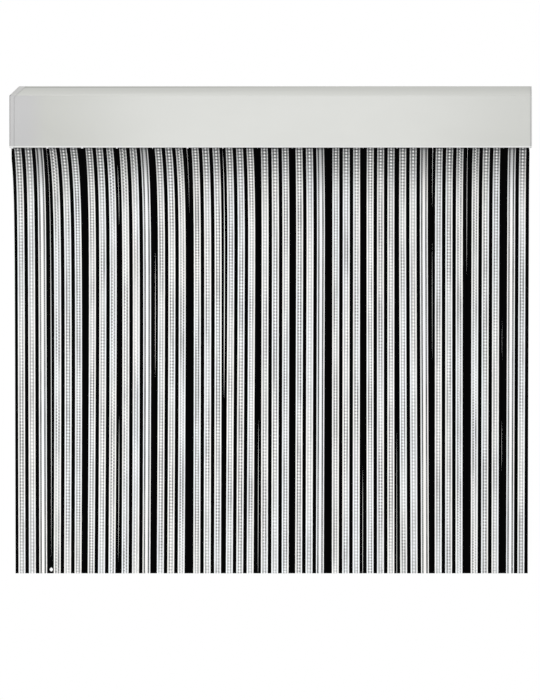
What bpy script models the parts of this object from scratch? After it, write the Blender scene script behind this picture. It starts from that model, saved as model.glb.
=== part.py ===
"""Strip door curtain: a header box whose rod carries fifteen swinging units of PVC bands.

Units are metres, +Z is up and the front faces -Y. The origin is the middle of the header's back
face, which lies on the wall. Each unit of bands turns about the rod's axis, which runs along X.
"""

import math

import bmesh
import bpy
from mathutils import Matrix

# Header box
HEADER_WIDTH = 0.900
HEADER_HEIGHT = 0.106
HEADER_DEPTH = 0.060
CORNER_SLOPE = 0.0165
FIT_GAP = 0.0003
CUT_OVERRUN = 0.010

# Cover profile
COVER_WALL = 0.002
COVER_BACK_GAP = 0.0006
COVER_SEAT_RELIEF = 0.0002
LIP_REACH = 0.009
LIP_TURN_UP = 0.005
BEAD_RADIUS = 0.0014
BEAD_PROUD = 0.0008
CLIP_TOE = 0.0025

# Wall plate profile, with the channel that takes the bracket feet
PLATE_WALL = 0.0025
LEDGE_REACH = 0.012
LEDGE_THICKNESS = 0.002
FOOT_RIB_REACH = 0.008
CHANNEL_HEIGHT = 0.028
CHANNEL_DEPTH = 0.003
CHANNEL_LIP = 0.004
CHANNEL_WALL = 0.002
SCREW_HOLE_DIAMETER = 0.0055
SCREW_ROW_SPACING = 0.070
SCREW_END_INSET = 0.105
SCREW_COLUMNS = 4

# End caps
CAP_WALL = 0.0025
CAP_RIM = 0.008
SPIGOT_REACH = 0.008
SPIGOT_WALL = 0.0015
SPIGOT_BACK_GAP = 0.004
SOCKET_DEPTH = 0.006

# Rod and its brackets
ROD_DIAMETER = 0.008
ROD_FROM_WALL = 0.030
ROD_ABOVE_RIM = 0.0165
RING_WALL = 0.0021
BRACKET_THICKNESS = 0.005
BRACKET_NOSE_HEIGHT = 0.008
BRACKET_AFTER_UNITS = (2, 6, 9, 13)

# Hangers
HOOK_WALL = 0.003
HOOK_WIDTH = 0.008
HOOK_MOUTH_ANGLE = math.radians(80)
HOOK_PLACE_SHARE = 0.27
JAW_ROOF_GAP = 0.0004
JAW_WALL = 0.0015
JAW_CHAMFER = 0.0010

# Bars that hold the bands of one colour together inside the jaw
BAR_THICKNESS = 0.0016
BLACK_BAR_BACK = 0.0023
BLACK_BAR_HEIGHT = 0.0028
CLEAR_BAR_HEIGHT = 0.0054
BAR_STEP = 0.0001
BAR_END_INSET = 0.0005

# Bands
STRIP_DROP = 0.734
LEFT_BAND_INSET = 0.0064
RIGHT_BAND_INSET = 0.0045
FIRST_UNIT_LEAN = 0.0050
LAST_UNIT_LEAN = -0.0038
BAND_GAP = 0.0003
BLACK_THICKNESS = 0.0011
BLACK_EDGE = 0.0003
CLEAR_WEB = 0.0007
EDGE_RIB_WIDTH = 0.0028
EDGE_RIB_THICKNESS = 0.0022
EDGE_SHOULDER = 0.0012
CENTRE_RIB_WIDTH = 0.0030
CENTRE_RIB_THICKNESS = 0.0026
CENTRE_RIB_FOOT = 0.0009
RIB_FLANK = 0.0005
WIDE_EDGE_RIB_WIDTH = 0.0034
WIDE_GROOVE = 0.0014
WIDE_FACE_THICKNESS = 0.0018
WIDE_CROWN_THICKNESS = 0.0024

# Units of bands: three clear bands each, two in the last one
UNIT_COUNT = 15
CLEAR_BANDS_PER_UNIT = 3
CLEAR_BANDS_IN_LAST_UNIT = 2

# Widths of the bands, as shares of the pitch from one unit to the next
BLACK_SHARE = 0.0685
END_BLACK_SHARE = 0.069
CLEAR_SHARE = 0.218
WIDE_CLEAR_SHARE = 0.2445

# How far each unit hangs from its even place, as shares of the pitch
UNIT_SHIFT_SHARES = (
    0.0, 0.005, 0.007, -0.030, -0.016, 0.024, -0.021, -0.028,
    -0.041, -0.002, -0.016, -0.064, -0.054, -0.028, 0.0,
)

# Open slit between the lower ends of neighbouring units, as shares of a black band's width
SLIT_SHARES = (
    0.34, 0.10, 0.28, 0.16, 0.24, 0.36, 0.10,
    0.10, 0.10, 0.24, 0.20, 0.24, 0.30, 0.10,
)

# Units with a wide, smooth clear band, and that band's place among the clear bands
WIDE_BANDS = {1: 2, 4: 2, 9: 2, 12: 2, 15: 0}

# Roundness of arcs, in steps
ROD_STEPS = 24
BEAD_STEPS = 6
RING_STEPS = 10
HOOK_STEPS = 11
WEB_STEPS = 5
HOLE_STEPS = 16

# Planes and lines that follow from the sizes above
HALF_WIDTH = HEADER_WIDTH / 2
HALF_HEIGHT = HEADER_HEIGHT / 2
ROD_RADIUS = ROD_DIAMETER / 2
ROD_Y = -ROD_FROM_WALL
ROD_Z = -HALF_HEIGHT + ROD_ABOVE_RIM
BEARING_RADIUS = ROD_RADIUS + FIT_GAP
RING_RADIUS = BEARING_RADIUS + RING_WALL
JAW_TOP = -(RING_RADIUS + JAW_ROOF_GAP)
BAND_BOTTOM = -(STRIP_DROP + ROD_ABOVE_RIM)
PLAIN_BANDS_IN_LAST_UNIT = CLEAR_BANDS_IN_LAST_UNIT - 1
LAST_UNIT_SHARE = (
    2 * END_BLACK_SHARE + WIDE_CLEAR_SHARE + PLAIN_BANDS_IN_LAST_UNIT * (BLACK_SHARE + CLEAR_SHARE)
)
LAST_UNIT_GAPS = 2 * CLEAR_BANDS_IN_LAST_UNIT * BAND_GAP
BAND_FIELD = HEADER_WIDTH - LEFT_BAND_INSET - RIGHT_BAND_INSET
UNIT_PITCH = (BAND_FIELD - LAST_UNIT_GAPS) / (UNIT_COUNT - 1 + LAST_UNIT_SHARE)
BLACK_WIDTH = UNIT_PITCH * BLACK_SHARE
END_BLACK_WIDTH = UNIT_PITCH * END_BLACK_SHARE
CLEAR_WIDTH = UNIT_PITCH * CLEAR_SHARE
WIDE_CLEAR_WIDTH = UNIT_PITCH * WIDE_CLEAR_SHARE

YZ_ALONG_X = Matrix(((0, 0, 1), (1, 0, 0), (0, 1, 0))).to_4x4()
XZ_ALONG_Y = Matrix.Rotation(math.radians(90), 4, "X")
XY_ALONG_Z = Matrix.Identity(4)


def clear_scene():
    """Remove what the file holds, so that the script can run again."""
    for item in list(bpy.data.objects):
        bpy.data.objects.remove(item, do_unlink=True)


def new_collection(name):
    collection = bpy.data.collections.new(name)
    bpy.context.scene.collection.children.link(collection)
    return collection


def new_material(name, colour, roughness, metallic):
    material = bpy.data.materials.new(name)
    material.use_nodes = True
    shader = material.node_tree.nodes["Principled BSDF"]
    shader.inputs["Base Color"].default_value = (*colour, 1)
    shader.inputs["Roughness"].default_value = roughness
    shader.inputs["Metallic"].default_value = metallic
    material.diffuse_color = (*colour, 1)
    return material


def extrude_loops(name, collection, loops, placement, low, high):
    """Extrude closed outlines from low to high along the normal of their plane, as a welded mesh."""
    curve = bpy.data.curves.new(name + "_outline", "CURVE")
    curve.dimensions = "2D"
    curve.fill_mode = "BOTH"
    curve.extrude = (high - low) / 2
    for loop in loops:
        spline = curve.splines.new("POLY")
        spline.points.add(len(loop) - 1)
        for point, (across, up) in zip(spline.points, loop):
            point.co = (across, up, 0, 1)
        spline.use_cyclic_u = True
    guide = bpy.data.objects.new(name + "_outline", curve)
    collection.objects.link(guide)
    guide.matrix_world = placement @ Matrix.Translation((0, 0, (low + high) / 2))
    bpy.context.view_layer.update()
    evaluated = guide.evaluated_get(bpy.context.evaluated_depsgraph_get())
    mesh = bpy.data.meshes.new_from_object(evaluated)
    weld(mesh)
    piece = bpy.data.objects.new(name, mesh)
    collection.objects.link(piece)
    piece.matrix_world = guide.matrix_world
    bpy.data.objects.remove(guide, do_unlink=True)
    return piece


def weld(mesh):
    """Join the loose caps of a filled curve to its sides, and make each cap one face."""
    work = bmesh.new()
    work.from_mesh(mesh)
    bmesh.ops.remove_doubles(work, verts=work.verts, dist=FIT_GAP / 30)
    bmesh.ops.dissolve_limit(
        work, angle_limit=math.radians(0.5), verts=work.verts, edges=work.edges, delimit={"NORMAL"}
    )
    bmesh.ops.recalc_face_normals(work, faces=work.faces)
    work.to_mesh(mesh)
    work.free()


def box(name, collection, low, high):
    """A box between two corners."""
    mesh = bpy.data.meshes.new(name)
    work = bmesh.new()
    size = [top - bottom for bottom, top in zip(low, high)]
    centre = [(top + bottom) / 2 for bottom, top in zip(low, high)]
    bmesh.ops.create_cube(work, size=1, matrix=Matrix.Translation(centre) @ Matrix.Diagonal((*size, 1)))
    work.to_mesh(mesh)
    work.free()
    piece = bpy.data.objects.new(name, mesh)
    collection.objects.link(piece)
    return piece


def cylinder(name, collection, start, end, radius, steps):
    """A round bar between two points that differ along one axis."""
    span = [b - a for a, b in zip(start, end)]
    length = sum(abs(step) for step in span)
    centre = [(a + b) / 2 for a, b in zip(start, end)]
    if span[0]:
        turn = Matrix.Rotation(math.radians(90), 4, "Y")
    elif span[1]:
        turn = Matrix.Rotation(math.radians(90), 4, "X")
    else:
        turn = Matrix.Identity(4)
    mesh = bpy.data.meshes.new(name)
    work = bmesh.new()
    bmesh.ops.create_cone(
        work, cap_ends=True, segments=steps, radius1=radius, radius2=radius, depth=length, matrix=turn
    )
    work.to_mesh(mesh)
    work.free()
    smooth(mesh)
    piece = bpy.data.objects.new(name, mesh)
    collection.objects.link(piece)
    piece.location = centre
    return piece


def smooth(mesh):
    mesh.shade_smooth()
    mesh.set_sharp_from_angle(angle=math.radians(35))


def boolean(target, tool, operation):
    """Cut or join a piece with a tool, which stays as a hidden wire guide."""
    modifier = target.modifiers.new(tool.name, "BOOLEAN")
    modifier.operation = operation
    modifier.solver = "EXACT"
    modifier.object = tool
    tool.hide_render = True
    tool.display_type = "WIRE"


def arc(centre, radius, start, end, steps):
    """Points of an arc, angles in radians from the first axis towards the second."""
    points = []
    for step in range(steps + 1):
        angle = start + (end - start) * step / steps
        points.append((centre[0] + radius * math.cos(angle), centre[1] + radius * math.sin(angle)))
    return points


def header_outline(inset, back, bottom):
    """Outer section of the header in Y and Z, moved in by the inset, with its sloped front corner."""
    corner = inset * math.tan(math.radians(22.5))
    return [
        (back, bottom),
        (back, HALF_HEIGHT - inset),
        (-HEADER_DEPTH + CORNER_SLOPE + corner, HALF_HEIGHT - inset),
        (-HEADER_DEPTH + inset, HALF_HEIGHT - CORNER_SLOPE - corner),
        (-HEADER_DEPTH + inset, bottom),
    ]


def bead():
    """The roll along the lower front edge, from the front face down to the bottom."""
    inside = BEAD_RADIUS - BEAD_PROUD
    centre = (-HEADER_DEPTH + inside, -HALF_HEIGHT + BEAD_RADIUS)
    top = math.acos(-inside / BEAD_RADIUS)
    return arc(centre, BEAD_RADIUS, top, 1.5 * math.pi, BEAD_STEPS)


def cap_outline():
    """Outer section of an end cap: the header's, with the bead."""
    return header_outline(0, 0, -HALF_HEIGHT)[:-1] + bead()


def left_seam(inset):
    """The left end's outline in X and Z, moved in by the inset: upright, then sloped inwards."""
    upright = -HALF_WIDTH + inset
    knee = HALF_HEIGHT - CORNER_SLOPE + inset * (1 - math.sqrt(2))
    top = HALF_HEIGHT + CUT_OVERRUN
    return [
        (upright, -HALF_HEIGHT - CUT_OVERRUN),
        (upright, knee),
        (upright + top - knee, top),
    ]


def seam_cutter(name, inset, beyond):
    """A block on one side of the left seam, out to the given X."""
    seam = left_seam(inset)
    outline = seam + [(beyond, seam[2][1]), (beyond, seam[0][1])]
    return extrude_loops(
        name, cutters, [outline], XZ_ALONG_Y, -CUT_OVERRUN, HEADER_DEPTH + CUT_OVERRUN
    )


def build_cover():
    """The pelmet: one extrusion with a sloped band, a beaded lip and a clip for the wall plate."""
    back = -COVER_BACK_GAP
    ceiling = HALF_HEIGHT - COVER_WALL
    ledge_front = -LEDGE_REACH - FIT_GAP
    clip_front = ledge_front - COVER_WALL
    seat = ceiling + COVER_SEAT_RELIEF
    toe_top = seat - 2 * FIT_GAP - LEDGE_THICKNESS
    toe_back = ledge_front + CLIP_TOE
    front = -HEADER_DEPTH + COVER_WALL
    corner = COVER_WALL * math.tan(math.radians(22.5))
    lip_back = -HEADER_DEPTH + LIP_REACH
    floor = -HALF_HEIGHT + COVER_WALL
    outline = [
        (back, HALF_HEIGHT),
        (back, seat),
        (ledge_front, seat),
        (ledge_front, toe_top),
        (toe_back, toe_top),
        (toe_back, toe_top - COVER_WALL),
        (clip_front, toe_top - COVER_WALL),
        (clip_front, ceiling),
        (-HEADER_DEPTH + CORNER_SLOPE + corner, ceiling),
        (front, HALF_HEIGHT - CORNER_SLOPE - corner),
        (front, floor),
        (lip_back - COVER_WALL, floor),
        (lip_back - COVER_WALL, -HALF_HEIGHT + LIP_TURN_UP),
        (lip_back, -HALF_HEIGHT + LIP_TURN_UP),
        (lip_back, -HALF_HEIGHT),
        *reversed(bead()),
        (-HEADER_DEPTH, HALF_HEIGHT - CORNER_SLOPE),
        (-HEADER_DEPTH + CORNER_SLOPE, HALF_HEIGHT),
    ]
    right_end = HALF_WIDTH - CAP_WALL - FIT_GAP
    cover = extrude_loops("header_cover", parts, [outline], YZ_ALONG_X, -HALF_WIDTH, right_end)
    end_cut = seam_cutter("cover_end_cut", CAP_RIM + FIT_GAP, -HALF_WIDTH - CUT_OVERRUN)
    boolean(cover, end_cut, "DIFFERENCE")
    cover.data.materials.append(header_paint)


def screw_hole_cutter():
    """One cutter with the wall plate's two rows of screw holes."""
    mesh = bpy.data.meshes.new("screw_holes")
    work = bmesh.new()
    radius = SCREW_HOLE_DIAMETER / 2
    spacing = (HEADER_WIDTH - 2 * SCREW_END_INSET) / (SCREW_COLUMNS - 1)
    turn = Matrix.Rotation(math.radians(90), 4, "X")
    for column in range(SCREW_COLUMNS):
        across = -HALF_WIDTH + SCREW_END_INSET + column * spacing
        for up in (-SCREW_ROW_SPACING / 2, SCREW_ROW_SPACING / 2):
            bmesh.ops.create_cone(
                work, cap_ends=True, segments=HOLE_STEPS, radius1=radius, radius2=radius,
                depth=2 * CUT_OVERRUN, matrix=Matrix.Translation((across, 0, up)) @ turn,
            )
    work.to_mesh(mesh)
    work.free()
    holes = bpy.data.objects.new("screw_holes", mesh)
    cutters.objects.link(holes)
    return holes


def build_wall_plate():
    """The back profile: ledge for the cover on top, channel for the brackets, two rows of screw holes."""
    half = HALF_HEIGHT - COVER_WALL + COVER_SEAT_RELIEF - FIT_GAP
    face = -PLATE_WALL
    channel_back = face - CHANNEL_DEPTH
    channel_front = channel_back - CHANNEL_WALL
    inside = CHANNEL_HEIGHT / 2
    mouth = inside - CHANNEL_LIP
    outside = inside + CHANNEL_WALL
    outline = [
        (0, -half),
        (0, half),
        (-LEDGE_REACH, half),
        (-LEDGE_REACH, half - LEDGE_THICKNESS),
        (face, half - LEDGE_THICKNESS),
        (face, outside),
        (channel_front, outside),
        (channel_front, mouth),
        (channel_back, mouth),
        (channel_back, inside),
        (face, inside),
        (face, -inside),
        (channel_back, -inside),
        (channel_back, -mouth),
        (channel_front, -mouth),
        (channel_front, -outside),
        (face, -outside),
        (face, -half + LEDGE_THICKNESS),
        (-FOOT_RIB_REACH, -half + LEDGE_THICKNESS),
        (-FOOT_RIB_REACH, -half),
    ]
    right_end = HALF_WIDTH - CAP_WALL - FIT_GAP
    plate = extrude_loops("wall_plate", parts, [outline], YZ_ALONG_X, -HALF_WIDTH, right_end)
    end_cut = seam_cutter("plate_end_cut", CAP_RIM + FIT_GAP, -HALF_WIDTH - CUT_OVERRUN)
    boolean(plate, end_cut, "DIFFERENCE")
    boolean(plate, screw_hole_cutter(), "DIFFERENCE")
    plate.data.materials.append(plate_metal)


def add_rod_socket(cap, wall_inside, direction):
    """A boss with a blind bore for the rod's end; direction points into the header."""
    root = wall_inside - direction * CAP_WALL / 2
    mouth = wall_inside + direction * SOCKET_DEPTH
    boss = cylinder(
        cap.name + "_boss", cutters, (root, ROD_Y, ROD_Z), (mouth, ROD_Y, ROD_Z), RING_RADIUS, ROD_STEPS
    )
    boolean(cap, boss, "UNION")
    bore = cylinder(
        cap.name + "_bore", cutters, (wall_inside, ROD_Y, ROD_Z),
        (mouth + direction * CUT_OVERRUN, ROD_Y, ROD_Z), BEARING_RADIUS, ROD_STEPS,
    )
    boolean(cap, bore, "DIFFERENCE")


def spigot_outline():
    """The tongue that slips inside the cover, over its lip and in front of its clip."""
    back = -LEDGE_REACH - COVER_WALL - SPIGOT_BACK_GAP
    bottom = -HALF_HEIGHT + LIP_TURN_UP + COVER_WALL
    return header_outline(COVER_WALL + FIT_GAP, back, bottom)


def hollow_outline():
    """The space inside the spigot, open to the back and below, where the bands hang through."""
    inset = COVER_WALL + FIT_GAP + SPIGOT_WALL
    return header_outline(inset, CUT_OVERRUN, -HALF_HEIGHT - CUT_OVERRUN)


def build_left_cap():
    """The moulded left end: a rim with a mitred upper corner, a spigot and a rod socket."""
    far = -HALF_WIDTH + CORNER_SLOPE + 2 * (CAP_RIM + SPIGOT_REACH)
    cap = extrude_loops("end_cap_left", parts, [cap_outline()], YZ_ALONG_X, -HALF_WIDTH, far)
    boolean(cap, seam_cutter("left_mitre", 0, -HALF_WIDTH - CUT_OVERRUN), "DIFFERENCE")
    boolean(cap, seam_cutter("left_rim_end", CAP_RIM, far + CUT_OVERRUN), "DIFFERENCE")
    spigot = extrude_loops("left_spigot", cutters, [spigot_outline()], YZ_ALONG_X, -HALF_WIDTH, far)
    boolean(spigot, seam_cutter("left_spigot_root", CAP_RIM / 2, -HALF_WIDTH - CUT_OVERRUN), "DIFFERENCE")
    boolean(spigot, seam_cutter("left_spigot_end", CAP_RIM + SPIGOT_REACH, far + CUT_OVERRUN), "DIFFERENCE")
    boolean(cap, spigot, "UNION")
    hollow = extrude_loops(
        "left_hollow", cutters, [hollow_outline()], YZ_ALONG_X, -HALF_WIDTH - CUT_OVERRUN, far + CUT_OVERRUN
    )
    boolean(hollow, seam_cutter("left_wall", CAP_WALL, -HALF_WIDTH - 2 * CUT_OVERRUN), "DIFFERENCE")
    boolean(cap, hollow, "DIFFERENCE")
    add_rod_socket(cap, -HALF_WIDTH + CAP_WALL, 1)
    cap.data.materials.append(cap_plastic)


def build_right_cap():
    """The right end: a flat plate in the header's outline, with a spigot and a rod socket."""
    wall_inside = HALF_WIDTH - CAP_WALL
    cap = extrude_loops("end_cap_right", parts, [cap_outline()], YZ_ALONG_X, wall_inside, HALF_WIDTH)
    spigot = extrude_loops(
        "right_spigot", cutters, [spigot_outline()], YZ_ALONG_X,
        wall_inside - SPIGOT_REACH, wall_inside + CAP_WALL / 2,
    )
    boolean(cap, spigot, "UNION")
    hollow = extrude_loops(
        "right_hollow", cutters, [hollow_outline()], YZ_ALONG_X,
        wall_inside - SPIGOT_REACH - CUT_OVERRUN, wall_inside,
    )
    boolean(cap, hollow, "DIFFERENCE")
    add_rod_socket(cap, wall_inside, -1)
    cap.data.materials.append(cap_plastic)


def build_rod():
    end = HALF_WIDTH - CAP_WALL - FIT_GAP
    rod = cylinder("hanging_rod", parts, (-end, ROD_Y, ROD_Z), (end, ROD_Y, ROD_Z), ROD_RADIUS, ROD_STEPS)
    rod.data.materials.append(rod_steel)


def quarter_web(corner, run, rise, to_corner):
    """A quarter ellipse that sweeps from the ring's side up to an arm."""
    points = []
    for step in range(WEB_STEPS + 1):
        angle = math.pi / 2 * step / WEB_STEPS
        points.append((corner + run * math.cos(angle), ROD_Z + rise * math.sin(angle)))
    return points if to_corner else points[::-1]


def build_bracket(number, across):
    """A plate with a foot in the channel, a nose against the cover and a ring round the rod."""
    foot_back = -PLATE_WALL - FIT_GAP
    foot_front = -PLATE_WALL - CHANNEL_DEPTH + FIT_GAP
    neck_front = -PLATE_WALL - CHANNEL_DEPTH - CHANNEL_WALL - FIT_GAP
    foot = CHANNEL_HEIGHT / 2 - FIT_GAP
    neck = CHANNEL_HEIGHT / 2 - CHANNEL_LIP - FIT_GAP
    nose = -HEADER_DEPTH + COVER_WALL + FIT_GAP
    nose_bottom = neck - BRACKET_NOSE_HEIGHT
    front_run = ROD_Y - RING_RADIUS - nose
    back_run = ROD_Y + RING_RADIUS - neck_front
    outline = [
        (foot_back, foot),
        (foot_front, foot),
        (foot_front, neck),
        (nose, neck),
    ]
    outline += quarter_web(nose, front_run, nose_bottom - ROD_Z, False)
    outline += arc((ROD_Y, ROD_Z), RING_RADIUS, math.pi, 2 * math.pi, RING_STEPS)[1:-1]
    outline += quarter_web(neck_front, back_run, -neck - ROD_Z, True)
    outline += [
        (foot_front, -neck),
        (foot_front, -foot),
        (foot_back, -foot),
    ]
    bore = arc((ROD_Y, ROD_Z), BEARING_RADIUS, 0, 2 * math.pi, ROD_STEPS)[:-1]
    half = BRACKET_THICKNESS / 2
    bracket = extrude_loops(
        f"rod_bracket_{number}", parts, [outline, bore], YZ_ALONG_X, across - half, across + half
    )
    smooth(bracket.data)
    bracket.data.materials.append(bracket_plastic)


def first_clear_edge(unit):
    """Left edge of a unit's first clear band; units count from 1."""
    first = -HALF_WIDTH + LEFT_BAND_INSET + END_BLACK_WIDTH + BAND_GAP
    return first + UNIT_PITCH * (unit - 1 + UNIT_SHIFT_SHARES[unit - 1])


def clear_bands(unit):
    """Left edge, width and kind of each clear band in a unit."""
    count = CLEAR_BANDS_IN_LAST_UNIT if unit == UNIT_COUNT else CLEAR_BANDS_PER_UNIT
    edge = first_clear_edge(unit)
    bands = []
    for place in range(count):
        wide = WIDE_BANDS.get(unit) == place
        width = WIDE_CLEAR_WIDTH if wide else CLEAR_WIDTH
        bands.append((edge, width, wide))
        edge += width + 2 * BAND_GAP + BLACK_WIDTH
    return bands


def unit_lean(unit):
    """How far to the right the lower ends of a unit's bands hang off their upper ends."""
    share = (unit - 1) / (UNIT_COUNT - 1)
    return FIRST_UNIT_LEAN + (LAST_UNIT_LEAN - FIRST_UNIT_LEAN) * share


def slit_edges(unit):
    """Right side of a unit and left side of the next, on both sides of the slit at their hangers."""
    last = clear_bands(unit)[-1]
    low = last[0] + last[1]
    middle = (low + first_clear_edge(unit + 1)) / 2
    lower_slit = BLACK_WIDTH * SLIT_SHARES[unit - 1]
    half_slit = (lower_slit + unit_lean(unit) - unit_lean(unit + 1)) / 2
    return middle - half_slit, middle + half_slit


def unit_span(unit):
    """Left and right side of a unit, over its outer black bands."""
    bands = clear_bands(unit)
    left = bands[0][0] - BAND_GAP - END_BLACK_WIDTH
    right = bands[-1][0] + bands[-1][1] + BAND_GAP + END_BLACK_WIDTH
    if unit > 1:
        left = slit_edges(unit - 1)[1]
    if unit < UNIT_COUNT:
        right = slit_edges(unit)[0]
    return left, right


def black_bands(unit):
    """Left and right edge of each black band in a unit."""
    left, right = unit_span(unit)
    edges = []
    for start, width, _ in clear_bands(unit):
        edges.append((left, start - BAND_GAP))
        left = start + width + BAND_GAP
    edges.append((left, right))
    return edges


def black_section(left, right):
    """Section of a black band: a flat strip with bevelled edges."""
    half = BLACK_THICKNESS / 2
    return [
        (left, -half + BLACK_EDGE),
        (left + BLACK_EDGE, -half),
        (right - BLACK_EDGE, -half),
        (right, -half + BLACK_EDGE),
        (right, half - BLACK_EDGE),
        (right - BLACK_EDGE, half),
        (left + BLACK_EDGE, half),
        (left, half - BLACK_EDGE),
    ]


def mirrored_section(left, width, steps):
    """Close a section from the steps of its left half, given as inset and thickness."""
    front = [(left + inset, -thickness / 2) for inset, thickness in steps]
    front += [(left + width - inset, -thickness / 2) for inset, thickness in reversed(steps)]
    return front + [(across, -depth) for across, depth in reversed(front)]


def ribbed_section(left, width):
    """Section of a clear band: a thin web with two edge ribs and a thicker centre rib."""
    rib_start = (width - CENTRE_RIB_WIDTH) / 2
    steps = [
        (0, EDGE_SHOULDER),
        (RIB_FLANK, EDGE_RIB_THICKNESS),
        (EDGE_RIB_WIDTH - RIB_FLANK, EDGE_RIB_THICKNESS),
        (EDGE_RIB_WIDTH, CLEAR_WEB),
        (rib_start, CENTRE_RIB_FOOT),
        (rib_start + RIB_FLANK, CENTRE_RIB_THICKNESS),
    ]
    return mirrored_section(left, width, steps)


def smooth_section(left, width):
    """Section of a wide clear band: edge ribs, two grooves and a broad crowned face."""
    face_start = WIDE_EDGE_RIB_WIDTH + WIDE_GROOVE
    steps = [
        (0, EDGE_SHOULDER),
        (RIB_FLANK, EDGE_RIB_THICKNESS),
        (WIDE_EDGE_RIB_WIDTH - RIB_FLANK, EDGE_RIB_THICKNESS),
        (WIDE_EDGE_RIB_WIDTH, CLEAR_WEB),
        (face_start, CENTRE_RIB_FOOT),
        (face_start + RIB_FLANK, WIDE_FACE_THICKNESS),
        (width / 2 - CENTRE_RIB_WIDTH / 2, WIDE_CROWN_THICKNESS),
    ]
    return mirrored_section(left, width, steps)


def hook_outline():
    """An open ring round the rod's axis, its mouth to the back, so that it snaps on."""
    start = HOOK_MOUTH_ANGLE / 2
    end = 2 * math.pi - start
    outer = arc((0, 0), BEARING_RADIUS + HOOK_WALL, start, end, HOOK_STEPS)
    inner = arc((0, 0), BEARING_RADIUS, start, end, HOOK_STEPS)
    return outer + inner[::-1]


def jaw_levels():
    """Heights and depths of the bars and of the jaw round them, from the rod's axis."""
    levels = {}
    levels["cavity_top"] = JAW_TOP - JAW_WALL
    levels["bar_top"] = levels["cavity_top"] - FIT_GAP
    levels["black_bar_bottom"] = levels["bar_top"] - BLACK_BAR_HEIGHT
    levels["clear_bar_bottom"] = levels["bar_top"] - CLEAR_BAR_HEIGHT
    levels["black_lip_top"] = levels["black_bar_bottom"] - FIT_GAP
    levels["clear_lip_top"] = levels["clear_bar_bottom"] - FIT_GAP
    levels["jaw_bottom"] = levels["clear_lip_top"] - JAW_WALL
    levels["black_bar_front"] = -BLACK_THICKNESS / 2 - BAR_STEP
    levels["clear_bar_back"] = levels["black_bar_front"] - FIT_GAP
    levels["clear_bar_front"] = levels["clear_bar_back"] - BAR_THICKNESS
    levels["mouth_half"] = CENTRE_RIB_THICKNESS / 2 + FIT_GAP
    return levels


def jaw_outline(at):
    """The jaw's channel: a low lip under the front bar and a high one under the back bar."""
    front = at["clear_bar_front"] - FIT_GAP
    back = BLACK_BAR_BACK + FIT_GAP
    return [
        (front - JAW_WALL, at["jaw_bottom"]),
        (front - JAW_WALL, JAW_TOP - JAW_CHAMFER),
        (front - JAW_WALL + JAW_CHAMFER, JAW_TOP),
        (back + JAW_WALL - JAW_CHAMFER, JAW_TOP),
        (back + JAW_WALL, JAW_TOP - JAW_CHAMFER),
        (back + JAW_WALL, at["jaw_bottom"]),
        (at["mouth_half"], at["jaw_bottom"]),
        (at["mouth_half"], at["black_lip_top"]),
        (back, at["black_lip_top"]),
        (back, at["cavity_top"]),
        (front, at["cavity_top"]),
        (front, at["clear_lip_top"]),
        (-at["mouth_half"], at["clear_lip_top"]),
        (-at["mouth_half"], at["jaw_bottom"]),
    ]


def lean(bands, distance):
    """Shear bands sideways, so that their lower ends hang the distance off their upper ends."""
    levels = [vertex.co.z for vertex in bands.data.vertices]
    factor = -distance / (max(levels) - min(levels))
    bands.data.transform(Matrix.Shear("XY", 4, (factor, 0)))
    bands.data.transform(Matrix.Translation((-factor * max(levels), 0, 0)))


def attach(piece, pivot, material):
    piece.parent = pivot
    if material:
        piece.data.materials.append(material)


def build_hanger(label, pivot, half_span, at):
    jaw = extrude_loops(f"strip_hanger_{label}", parts, [jaw_outline(at)], YZ_ALONG_X, -half_span, half_span)
    attach(jaw, pivot, hanger_plastic)
    hook_place = 2 * half_span * HOOK_PLACE_SHARE
    for side in (-1, 1):
        low = side * hook_place - HOOK_WIDTH / 2
        hook = extrude_loops(
            f"hook_{label}_{side}", cutters, [hook_outline()], YZ_ALONG_X, low, low + HOOK_WIDTH
        )
        attach(hook, pivot, None)
        boolean(jaw, hook, "UNION")


def build_black_bands(label, pivot, unit, at):
    sections = []
    for left, right in black_bands(unit):
        sections.append(black_section(left - pivot.location.x, right - pivot.location.x))
    band_top = (at["bar_top"] + at["black_bar_bottom"]) / 2
    bands = extrude_loops(f"black_bands_{label}", parts, sections, XY_ALONG_Z, BAND_BOTTOM, band_top)
    lean(bands, unit_lean(unit))
    attach(bands, pivot, black_pvc)
    half = (unit_span(unit)[1] - unit_span(unit)[0]) / 2 - BAR_END_INSET
    bar = box(
        f"black_bar_{label}", cutters,
        (-half, at["black_bar_front"], at["black_bar_bottom"]),
        (half, BLACK_BAR_BACK, at["bar_top"]),
    )
    attach(bar, pivot, None)
    boolean(bands, bar, "UNION")


def build_clear_bands(label, pivot, unit, at):
    sections = []
    for left, width, wide in clear_bands(unit):
        section = smooth_section if wide else ribbed_section
        sections.append(section(left - pivot.location.x, width))
    band_top = at["black_bar_bottom"] - FIT_GAP
    bands = extrude_loops(f"clear_bands_{label}", parts, sections, XY_ALONG_Z, BAND_BOTTOM, band_top)
    lean(bands, unit_lean(unit))
    attach(bands, pivot, clear_pvc)
    half = (unit_span(unit)[1] - unit_span(unit)[0]) / 2 - BAR_END_INSET
    bar = box(
        f"clear_bar_{label}", cutters,
        (-half, at["clear_bar_front"], at["clear_bar_bottom"]),
        (half, at["clear_bar_back"], at["bar_top"]),
    )
    attach(bar, pivot, None)
    boolean(bands, bar, "UNION")


def build_unit(unit):
    """One swinging unit, parented to an empty on the rod's axis."""
    label = f"{unit:02d}"
    left, right = unit_span(unit)
    pivot = bpy.data.objects.new(f"strip_pivot_{label}", None)
    pivot.empty_display_size = ROD_DIAMETER
    pivot.location = ((left + right) / 2, ROD_Y, ROD_Z)
    parts.objects.link(pivot)
    at = jaw_levels()
    build_hanger(label, pivot, (right - left) / 2, at)
    build_black_bands(label, pivot, unit, at)
    build_clear_bands(label, pivot, unit, at)


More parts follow.
